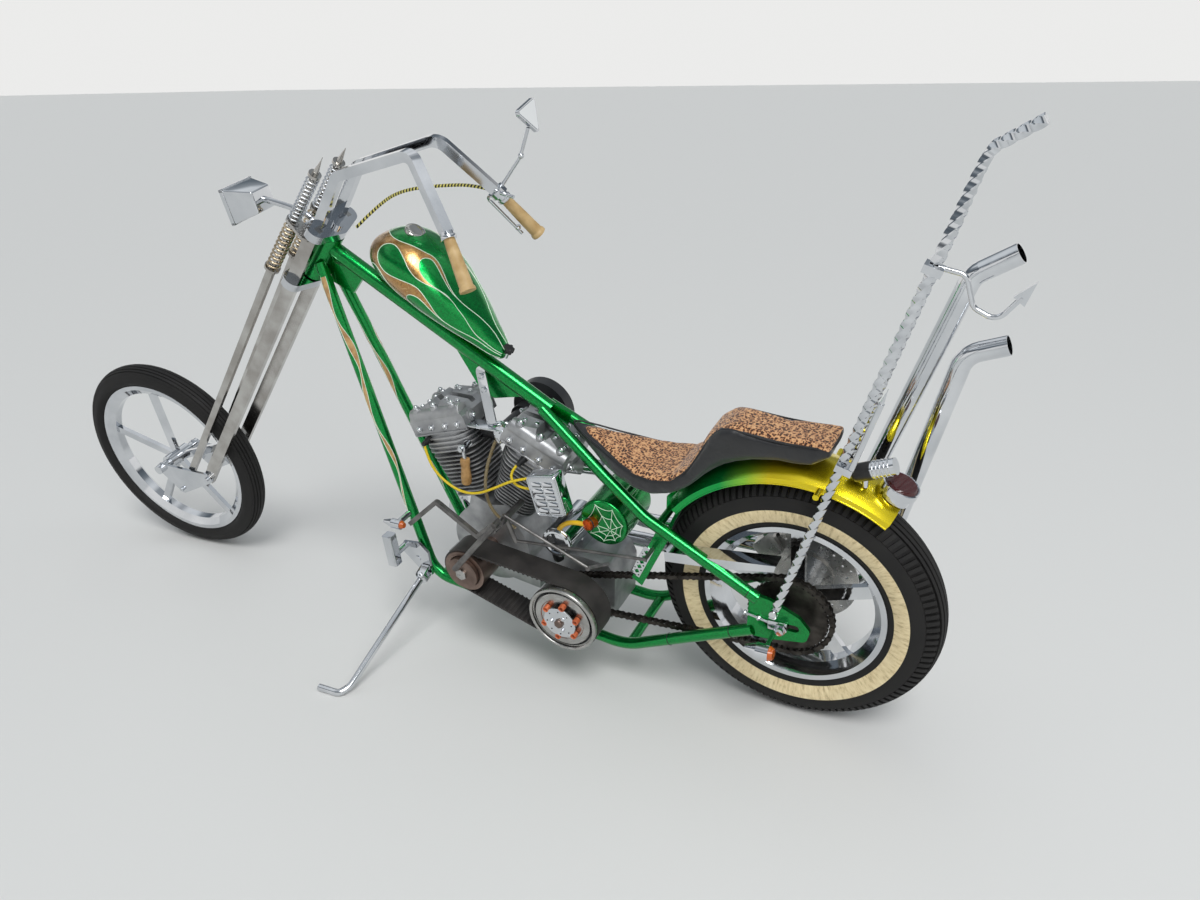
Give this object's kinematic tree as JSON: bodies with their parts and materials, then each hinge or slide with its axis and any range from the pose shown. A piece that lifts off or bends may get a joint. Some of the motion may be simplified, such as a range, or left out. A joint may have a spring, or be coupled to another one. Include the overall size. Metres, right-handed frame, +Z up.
{
  "type": "chopper motorcycle",
  "caption": "Long-forked custom chopper motorcycle on its side stand: springer fork, rigid frame, open belt primary, stepped seat and tall sissy bar.",
  "frame": {"origin": "centre of the bounding box at the ground", "axes": "+X forward along the machine, +Y to the rider's left, towards which it leans on its stand, +Z up"},
  "size_m": [2.9136, 0.725, 1.468],
  "materials": {
    "candy_green": "deep gloss candy over metal flake",
    "fender_paint": "gloss, green fading to yellow",
    "chrome": "mirror plated",
    "cast_alloy": "sand cast, satin",
    "polished_alloy": "polished",
    "fin_alloy": "cast, darkened between the fins",
    "dark_steel": "plain, oiled",
    "chain_steel": "oiled",
    "brass_springs": "aged plating",
    "tyre_rubber": "matte, cream side ring on the rear",
    "belt_rubber": "matte toothed",
    "grip_rubber": "aged tan rubber",
    "cord_yellow": "yellow braid",
    "seat_cover": "spotted cloth with black vinyl sides",
    "black_paint": "satin black",
    "lamp_glass": "clear",
    "red_lens": "dark red",
    "amber_lens": "amber",
    "orange_cap": "gloss"
  },
  "bodies": {
    "frame": {"frame_backbone": "candy_green", "frame_seat_rail_left": "candy_green", "frame_seat_rail_right": "candy_green", "frame_cradle_left": "candy_green", "frame_cradle_right": "candy_green", "frame_cross_tubes": "candy_green", "seat_strut": "candy_green", "fuel_tank": "candy_green", "oil_tank": "candy_green", "rear_fender": "fender_paint", "rear_axle_bolt": "chrome", "sissy_bar": "chrome", "sissy_hook": "chrome", "exhaust_front": "chrome", "exhaust_rear": "chrome", "chain_guard": "chrome", "coil_cover": "chrome", "head_stay": "chrome", "fuel_fittings": "chrome", "tail_lamp": "chrome", "turn_signals": "chrome", "foot_controls": "chrome", "starter_motor": "chrome", "engine_crankcase": "cast_alloy", "gearbox": "cast_alloy", "engine_heads": "cast_alloy", "engine_cylinders": "fin_alloy", "engine_pushrods": "polished_alloy", "clutch": "polished_alloy", "front_pulley": "polished_alloy", "rear_brake_caliper": "polished_alloy", "shift_linkage": "dark_steel", "drive_chain": "chain_steel", "primary_belt": "belt_rubber", "plug_leads": "cord_yellow", "seat": "seat_cover", "engine_carburettor": "black_paint", "tail_lens": "red_lens", "signal_lenses": "amber_lens", "oil_cap": "orange_cap"},
    "rear_wheel": {"rear_tyre": "tyre_rubber", "rear_wheel": "chrome", "rear_sprocket": "chain_steel", "rear_brake_disc": "polished_alloy"},
    "steering": {"fork_trees": "chrome", "fork_legs": "chrome", "fork_front_legs": "chrome", "fork_rockers": "chrome", "fork_lower_springs": "brass_springs", "fork_upper_springs": "chrome", "front_axle_bolt": "chrome", "headlamp": "chrome", "headlamp_lens": "lamp_glass", "handlebar": "chrome", "grips": "grip_rubber", "hand_controls": "dark_steel", "throttle_cable": "cord_yellow"},
    "front_wheel": {"front_tyre": "tyre_rubber", "front_wheel": "chrome"},
    "side_stand": {"side_stand": "chrome"}
  },
  "joints": [
    {"name": "rear_wheel_spin", "type": "hinge", "parent": "frame", "child": "rear_wheel", "pos_m": [-1.02131, -0.11022, 0.34088], "axis": [0.0003, 0.9854, -0.1702], "continuous": true},
    {"name": "steering_turn", "type": "hinge", "parent": "frame", "child": "steering", "pos_m": [0.29741, 0.01012, 1.03998], "axis": [-0.6705, 0.1265, 0.7311], "range_deg": [-34.4, 25.6]},
    {"name": "front_wheel_spin", "type": "hinge", "parent": "steering", "child": "front_wheel", "pos_m": [1.11532, -0.1008, 0.33986], "axis": [-0.0566, 0.9738, -0.2204], "continuous": true},
    {"name": "side_stand_fold", "type": "hinge", "parent": "frame", "child": "side_stand", "pos_m": [0.02496, 0.01173, 0.19691], "axis": [-0.0016, 0.4994, 0.8664], "range_deg": [0, 78]}
  ]
}
